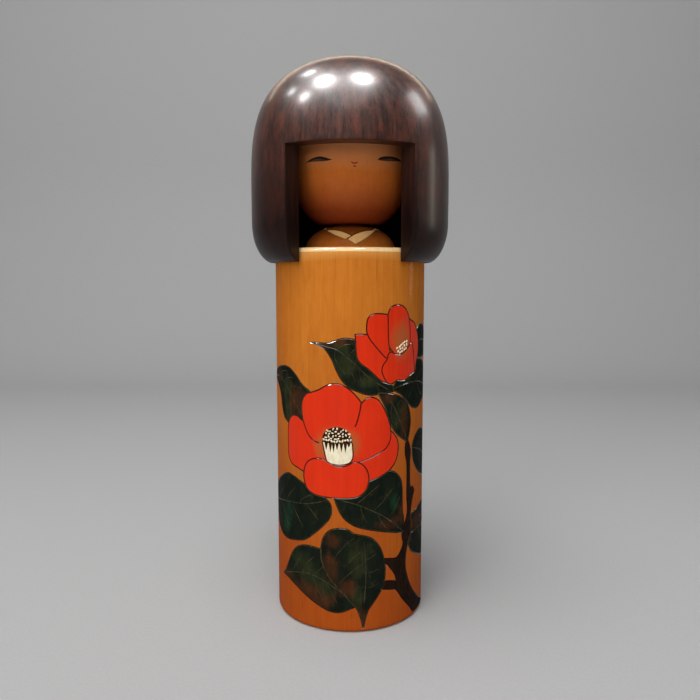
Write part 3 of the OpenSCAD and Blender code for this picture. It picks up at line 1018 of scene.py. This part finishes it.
def collar_drawing():
    """The kimono's collar: two bare bands that cross at the front, the right one on top."""
    d = Drawing(0.5)
    cut = (0.26, 0.28)
    # under band, on the viewer's left
    d.area("bare", [(-2.8, -24.7), (-5.5, -22.8), (-8.7, -19.6), (-11.2, -15.1), (-12.8, -10.2),
                    (-12, -12.2), (-10.1, -14.2), (-8.2, -15.7), (-4.8, -18.5), (-1.9, -20.7),
                    (0.7, -22.6)], corners=(0, 4, 10), cut=cut)
    # upper band, which goes on round the back of the neck
    d.area("bare", [(-1.2, -25.1), (3.2, -27.9), (6.3, -25.6), (8.9, -22.7), (11.4, -18.3),
                    (12.9, -13.7), (13.7, -9.6), (15.3, -6), (16.5, 0), (15.5, 6), (11, 12),
                    (0, 16.5), (-11, 12), (-14.6, 5), (-14.8, -2), (-12.8, -10.2), (-12.2, -4),
                    (-11.6, 3), (-8, 9.8), (0, 13.3), (8.5, 10.2), (12.4, 5), (13.3, 0),
                    (13, -4), (12.6, -9), (11.7, -13), (8.5, -16.4), (5.3, -19.4), (1.1, -22.9)],
           corners=(0, 1, 15), cut=cut)
    return d


def circle_loop(radius, count=120):
    """A closed loop of points round a circle."""
    turned = np.linspace(0.0, 2 * math.pi, count, endpoint=False)
    return radius * np.column_stack([np.cos(turned), np.sin(turned)])


def build_dome():
    """The shoulder mound with the collar carved into it, and the low neck ring on top."""
    radii, heights, along = dome_profile()

    def place(x, y, depth):
        """The point on the mound at a flat place, sunk by the depth square to the surface."""
        out = math.hypot(x, y)
        radius, lean = out, math.pi / 2
        lift = np.interp(out, along, heights)
        if out > DOME_FLAT_R:
            radius = np.interp(out, along, radii)
            ahead = out + 0.3
            lean = math.atan2(np.interp(ahead, along, radii) - radius,
                              lift - np.interp(ahead, along, heights))
        radius -= depth * math.cos(lean)
        return (radius * x / out, radius * y / out, lift - depth * math.sin(lean))

    def keep(points):
        out = np.linalg.norm(points, axis=1)
        return (out > NECK_R + 0.7) & (out < along[-1] - 0.6)

    loops = [circle_loop(along[-1]), circle_loop(NECK_R)]
    bm = wrapped(collar_drawing(), loops, 1.1, keep, DOME_PAINTS, place)
    top = [(NECK_R, CHIN_Z - 0.3), (NECK_R - 0.3, CHIN_Z), (DOWEL_R, CHIN_Z), (DOWEL_R, BODY_H)]
    turn(bm, ring_at(bm, NECK_R, DOME_TOP_Z), top)
    turn(bm, ring_at(bm, radii[-1], heights[-1]), [(DOME_R - UNDERCUT, BODY_H), (DOWEL_R, BODY_H)])
    bmesh.ops.remove_doubles(bm, verts=bm.verts, dist=1e-3)
    piece = finish_mesh("carved_shoulders", bm, "body", materials(DOME_PAINTS), 30.0)
    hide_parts("shoulder_dome")


# ---------------------------------------------------------------- head

HEAD_PAINTS = ["face", "eye", "ink", "lip"]
FACE_LOW, FACE_HIGH = 228.0, 248.0  # heights between which the face is drawn


def head_radius(z):
    """Radius of the head at a height."""
    flat, far, square = CROWN_FLAT_R, CROWN_Z, 2.0
    if z < BELLY_Z:
        flat, far, square = CHIN_FLAT_R, CHIN_Z, CHEEK_SQUARE
    semi_z = abs(far - BELLY_Z) / (1 - (flat / HEAD_R) ** square) ** (1 / square)
    return HEAD_R * (1 - (abs(z - BELLY_Z) / semi_z) ** square) ** (1 / square)


def face_drawing():
    """Two half-closed eyes and a small mouth, drawn flat on the head's unrolled widest round."""
    d = Drawing(0.25)

    def painted_area(paint, points, corners):
        """An area from points given as (degrees from the front, height)."""
        d.area(paint, [(math.radians(a) * HEAD_R, z) for a, z in points], corners, NO_CUT)

    # the eye on the viewer's left, then its upper lid
    painted_area("eye", [(-45, 238.2), (-39, 239.4), (-34, 240.0), (-28, 240.3), (-22.8, 239.8),
                         (-16.3, 238.6), (-23, 238.1), (-29.8, 238.2), (-37, 238.35)], (0, 5))
    painted_area("ink", [(-45.6, 238.0), (-39, 239.5), (-34, 240.2), (-28, 240.5), (-22.8, 239.9),
                         (-15.8, 238.6), (-21, 238.3), (-25, 239.0), (-30, 239.6), (-36, 239.2)],
                 (0, 5))
    # the eye on the viewer's right, then its upper lid
    painted_area("eye", [(25.2, 238.8), (28.6, 240.0), (34, 240.7), (41.7, 240.95), (48, 240.7),
                         (56.2, 239.8), (48.7, 239.3), (40.1, 238.8), (32.5, 238.55)], (0, 5))
    painted_area("ink", [(24.8, 238.7), (28.4, 240.1), (34, 240.85), (41.7, 241.1), (48, 240.9),
                         (57, 239.7), (50, 239.4), (45, 240.1), (38, 240.1), (33, 239.5)], (0, 5))
    # upper lip, like a shallow v, and the small lower lip
    painted_area("lip", [(0.5, 237.7), (2.4, 237.3), (4.1, 237.05), (5.7, 237.3), (7.4, 237.6),
                         (6.2, 236.8), (4.1, 236.45), (1.9, 236.75)], (0, 4))
    painted_area("lip", [(2.4, 235.6), (4.1, 235.65), (5.9, 235.6), (4.2, 234.9)], (0, 2))
    return d


def build_head():
    """The turned head with the painted face."""
    half = math.pi * HEAD_R

    def place(x, y, depth):
        turned, radius = x / HEAD_R, head_radius(y) - depth
        return (radius * math.sin(turned), -radius * math.cos(turned), y)

    loop = band_loop(half, FACE_LOW, FACE_HIGH, 144, 14)
    keep = within(FACE_LOW, FACE_HIGH, half, 0.6)
    bm = wrapped(face_drawing(), [loop], 1.5, keep, HEAD_PAINTS, place)
    upper = list(np.linspace(FACE_HIGH, BELLY_Z, 5)[1:])
    crown = CROWN_Z - BELLY_Z
    upper += [BELLY_Z + crown * math.sin(math.radians(a)) for a in range(6, 91, 6)]
    lower = list(np.linspace(FACE_LOW, CHIN_Z + 6.0, 12)[1:])
    lower += [CHIN_Z + h for h in (5, 4, 3.2, 2.4, 1.8, 1.2, 0.6, 0)]
    top_profile = [(head_radius(z), z) for z in upper]
    top_profile += [(DOWEL_R, CROWN_Z), (DOWEL_R, CROWN_DOWEL_LOW), (0.0, CROWN_DOWEL_LOW)]
    turn(bm, ring_at(bm, head_radius(FACE_HIGH), FACE_HIGH), top_profile)
    bore_r, hole_high = DOWEL_R + TURN_GAP, DOWEL_HIGH + BORE_GAP
    low_profile = [(head_radius(z), z) for z in lower]
    low_profile += [(bore_r, CHIN_Z), (bore_r, hole_high), (0.0, hole_high)]
    turn(bm, ring_at(bm, head_radius(FACE_LOW), FACE_LOW), low_profile)
    piece = finish_mesh("painted_head", bm, "head", materials(HEAD_PAINTS))
    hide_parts("head")


# ---------------------------------------------------------------- hair cap

FRONT_COLUMNS, BACK_COLUMNS = 48, 188  # columns of faces across the window and round the rest
COLUMNS = FRONT_COLUMNS + BACK_COLUMNS
BACK = [i % COLUMNS for i in range(FRONT_COLUMNS, COLUMNS + 1)]  # from one side of the window to the other
WALL_STEPS = 6
EDGE_STEPS = 4
EDGE_ROUND = 0.3  # rounding of the window's edges
LOW_RISE = 0.15  # how much higher the lower rim is inside than outside


def even(points, step):
    """The polyline's points at an even spacing, its ends included."""
    points = np.array(points, float)
    along = np.concatenate([[0.0], np.cumsum(np.linalg.norm(np.diff(points, axis=0), axis=1))])
    at = np.linspace(0.0, along[-1], math.ceil(along[-1] / step) + 1)
    return np.column_stack([np.interp(at, along, column) for column in points.T])


def hair_radius(z):
    """Outer radius of the hair cap at a height."""
    if z < HAIR_TUCK_Z:
        drop = min(1.0, (HAIR_TUCK_Z - z) / HAIR_TUCK_H)
        return HAIR_R - HAIR_TUCK_D * (1.0 - math.sqrt(1.0 - drop * drop))
    if z < HAIR_WIDE_Z:
        return HAIR_R
    share = min(1.0, (z - HAIR_WIDE_Z) / (HAIR_TOP - HAIR_WIDE_Z))
    turned = math.asin(share ** (HAIR_SQUARE_Z / 2))
    return HAIR_R * math.cos(turned) ** (2 / HAIR_SQUARE_R)


def edge_round(z):
    """Rounding of the window's edge at a height, less where the wall thins out below."""
    return min(EDGE_ROUND, 0.45 * (hair_radius(z) - CAVITY_R))


def column_angle(i, wider=0.0):
    """Angle from the front of a column of faces, when the window is that much wider."""
    half = WINDOW_ANGLE + wider
    if i <= FRONT_COLUMNS:
        return half * (2 * i / FRONT_COLUMNS - 1)
    return half + (2 * math.pi - 2 * half) * (i - FRONT_COLUMNS) / BACK_COLUMNS


def round_axis(radius, turned, z):
    """A point at an angle from the front."""
    return (radius * math.sin(turned), -radius * math.cos(turned), z)


def strip(bm, first, second, paint=0, closed=False):
    """A row of quads between two rows of vertices."""
    if closed:
        first, second = first + first[:1], second + second[:1]
    for a, b, c, d in zip(first, first[1:], second[1:], second):
        bm.faces.new((a, b, c, d)).material_index = paint


def hair_rows():
    """Heights of the rows of faces beside the window, and (radius, height) of those above it."""
    low_angle = math.degrees(math.asin((HAIR_TUCK_Z - HAIR_LOW) / HAIR_TUCK_H))
    tuck = arc(HAIR_R - HAIR_TUCK_D, HAIR_TUCK_Z, HAIR_TUCK_D, HAIR_TUCK_H, -low_angle, 0, 40)
    below = [z for _, z in even(tuck + [(HAIR_R, FRINGE_Z - 1.2)], 1.5)]
    fringe_low = FRINGE_Z + edge_round(FRINGE_Z)
    start = math.asin(((fringe_low - HAIR_WIDE_Z) / (HAIR_TOP - HAIR_WIDE_Z)) ** (HAIR_SQUARE_Z / 2))
    cap = [
        (HAIR_R * math.cos(a) ** (2 / HAIR_SQUARE_R),
         HAIR_WIDE_Z + (HAIR_TOP - HAIR_WIDE_Z) * math.sin(a) ** (2 / HAIR_SQUARE_Z))
        for a in np.linspace(start, math.pi / 2 - 1e-4, 400)
    ]
    return below, even(cap, 1.4)[:-1]


def hair_outside(bm, below, above):
    """The outside; returns its rows of vertices beside the window and the row above the fringe."""

    def outer_row(z, radius, columns):
        wider = edge_round(min(z, FRINGE_Z)) / radius
        return [bm.verts.new(round_axis(radius, column_angle(i, wider), z)) for i in columns]

    outer = [outer_row(z, hair_radius(z), BACK) for z in below]
    cap_rows = [outer_row(z, radius, range(COLUMNS)) for radius, z in above]
    for a, b in zip(outer, outer[1:] + [[cap_rows[0][i] for i in BACK]]):
        strip(bm, a, b)
    for a, b in zip(cap_rows, cap_rows[1:]):
        strip(bm, a, b, closed=True)
    turn(bm, cap_rows[-1], [(0.0, HAIR_TOP)])
    return outer, cap_rows[0]


def hair_inside(bm, below):
    """The hollow; returns its rows of vertices beside the window and the row at the fringe."""
    heights = [below[0] + LOW_RISE] + below[1:]
    inner = [[bm.verts.new(round_axis(CAVITY_R, column_angle(i), z)) for i in BACK] for z in heights]
    fringe = [bm.verts.new(round_axis(CAVITY_R, column_angle(i), FRINGE_Z)) for i in range(COLUMNS)]
    for a, b in zip(inner, inner[1:] + [[fringe[i] for i in BACK]]):
        strip(bm, a, b, 1)
    vault_z = (CROWN_Z - CAVITY_SPRING_Z) / math.sqrt(1 - (CEILING_R / CAVITY_R) ** 2)
    end = math.degrees(math.acos(CEILING_R / CAVITY_R))
    hole_high = CROWN_DOWEL_HIGH + BORE_GAP
    vault = arc(0.0, CAVITY_SPRING_Z, CAVITY_R, vault_z, 0, end, 24)
    vault += [(DOWEL_R, CROWN_Z), (DOWEL_R, hole_high), (0.0, hole_high)]
    turn(bm, fringe, vault, 1)
    return inner, fringe


def round_window(bm, below, rim):
    """The window's rounded edge: rows of vertices up one side, along the fringe and down the other."""
    path = [(BACK[-1], z) for z in below] + [(i, FRINGE_Z) for i in range(FRONT_COLUMNS + 1)]
    path += [(BACK[0], z) for z in below[::-1]]
    rows = [rim]
    for k in range(1, EDGE_STEPS + 1):
        turned = math.radians(90 * k / EDGE_STEPS)
        row = []
        for i, z in path:
            size = edge_round(z)
            rise, sink = size * (1 - math.sin(turned)), size * (1 - math.cos(turned))
            height = z + rise if z == FRINGE_Z else z
            radius = hair_radius(height)
            angle = column_angle(i, rise / radius)
            row.append(bm.verts.new(round_axis(radius - sink, angle, height)))
        strip(bm, rows[-1], row)
        rows.append(row)
    return rows


def window_walls(bm, first, last):
    """The window's flat walls and the underside of the fringe, as rows of vertices after the first."""
    rows = [first]
    for k in range(1, WALL_STEPS + 1):
        row = last
        if k < WALL_STEPS:
            row = [bm.verts.new(a.co.lerp(b.co, k / WALL_STEPS)) for a, b in zip(first, last)]
        strip(bm, rows[-1], row, 1)
        rows.append(row)
    return rows[1:]


def build_hair():
    """The thick turned cap of hair, with the window for the face."""
    bm = bmesh.new()
    below, above = hair_rows()
    outer, outer_fringe = hair_outside(bm, below, above)
    inner, inner_fringe = hair_inside(bm, below)

    def window_line(sides, fringe):
        up, down = [row[-1] for row in sides], [row[0] for row in sides[::-1]]
        return up + fringe[:FRONT_COLUMNS + 1] + down

    rows = round_window(bm, below, window_line(outer, outer_fringe))
    rows += window_walls(bm, rows[-1], window_line(inner, inner_fringe))
    strip(bm, outer[0], inner[0])
    for end in (0, -1):
        bm.faces.new([row[end] for row in rows])
    piece = finish_mesh("hair", bm, "head", materials(["hair", "hollow"]))
    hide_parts("hair_cap")


# ---------------------------------------------------------------- light and floor


def area_light(name, place, aim, size, power, tall=0.0, warm=0.0, glints=True, glow=True):
    """A lamp at a place in metres, turned towards a point; without glints it isn't mirrored in the
    lacquer, and without glow it is only mirrored."""
    data = bpy.data.lights.new(name, "AREA")
    data.shape = "RECTANGLE" if tall else "DISK"
    data.size = size
    data.size_y = tall or size
    data.energy = power
    data.color = (1.0, 1.0 - 0.3 * warm, 1.0 - 0.6 * warm)
    lamp = bpy.data.objects.new(name, data)
    lamp.location = place
    lamp.rotation_euler = (Vector(aim) - Vector(place)).to_track_quat("-Z", "Y").to_euler()
    lamp.visible_glossy = glints
    lamp.visible_diffuse = glow
    bpy.context.scene.collection.objects.link(lamp)


def build_stage():
    """A pale sweep of paper under and behind the doll."""
    bm = bmesh.new()
    profile = [(-1.2, 0.0)] + [
        (0.75 + 0.45 * math.sin(a), 0.45 - 0.45 * math.cos(a)) for a in np.linspace(0, math.pi / 2, 17)
    ] + [(1.2, 1.6)]
    left = [bm.verts.new((-1.8, y, z)) for y, z in profile]
    right = [bm.verts.new((1.8, y, z)) for y, z in profile]
    strip(bm, left, right)
    mesh = bpy.data.meshes.new("paper_sweep")
    bm.to_mesh(mesh)
    bm.free()
    mesh.shade_smooth()
    sweep = bpy.data.objects.new("paper_sweep", mesh)
    sweep.data.materials.append(plain_paint("paper", (0.44, 0.44, 0.44), (0.42, 0.42, 0.42), 0.8, 0.0))
    bpy.context.scene.collection.objects.link(sweep)
    sweep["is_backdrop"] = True


def build_lights():
    """Soft studio light from above and in front, with small ceiling lamps for the glints on the lacquer."""
    world = bpy.data.worlds.new("world")
    bpy.context.scene.world = world
    world.use_nodes = True
    background = world.node_tree.nodes["Background"]
    background.inputs["Color"].default_value = (1.0, 1.0, 1.0, 1.0)
    background.inputs["Strength"].default_value = 0.14
    area_light("front_softbox", (-0.4, -1.8, 1.15), (0, 0, 0.15), 2.0, 34.0, 2.0, glints=False)
    crown = Vector((0.0, 0.0, 0.27))
    area_light("ceiling_softbox", crown + Vector((-0.2, -0.3, 1.2)), crown, 1.0, 16.0, glints=False)
    for name, toward, size, power, tall, warm in (
        ("ceiling_left", (-0.347, -0.175, 0.921), 0.24, 52.0, 0.0, 0.0),
        ("ceiling_right", (0.171, -0.204, 0.964), 0.24, 52.0, 0.0, 0.0),
        ("ceiling_far_left", (-0.653, -0.253, 0.714), 0.2, 12.0, 0.0, 0.0),
        ("ceiling_back_left", (-0.399, 0.32, 0.859), 0.16, 4.0, 0.0, 0.0),
        ("side_left", (-0.693, 0.121, 0.71), 0.12, 3.0, 0.0, 0.0),
        ("ceiling_glow", (-0.05, -0.5, 0.865), 1.0, 16.0, 0.0, 0.0),
        ("side_right", (0.8, 0.16, 0.58), 0.42, 6.5, 0.34, 0.0),
        ("side_band", (0.96, 0.26, 0.05), 0.16, 1.3, 0.4, 0.4),
        ("back_edge", (0.0, 0.8, 0.6), 1.8, 3.0, 0.1, 0.7),
    ):
        area_light(name, crown + 1.2 * Vector(toward), crown, size, power, tall, warm, glow=False)


bpy.context.scene.view_settings.view_transform = "Standard"
build_body()
build_stamens()
build_dome()
build_head()
build_hair()
build_stage()
build_lights()
for name in ("neck_dowel", "crown_dowel"):
    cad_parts[name].data.materials.clear()
    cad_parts[name].data.materials.append(MATERIALS["bare"])

boxes = {"cad_box": cad_box, "visual_box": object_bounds()}
{name: [list(corner) for corner in box] for name, box in boxes.items()}
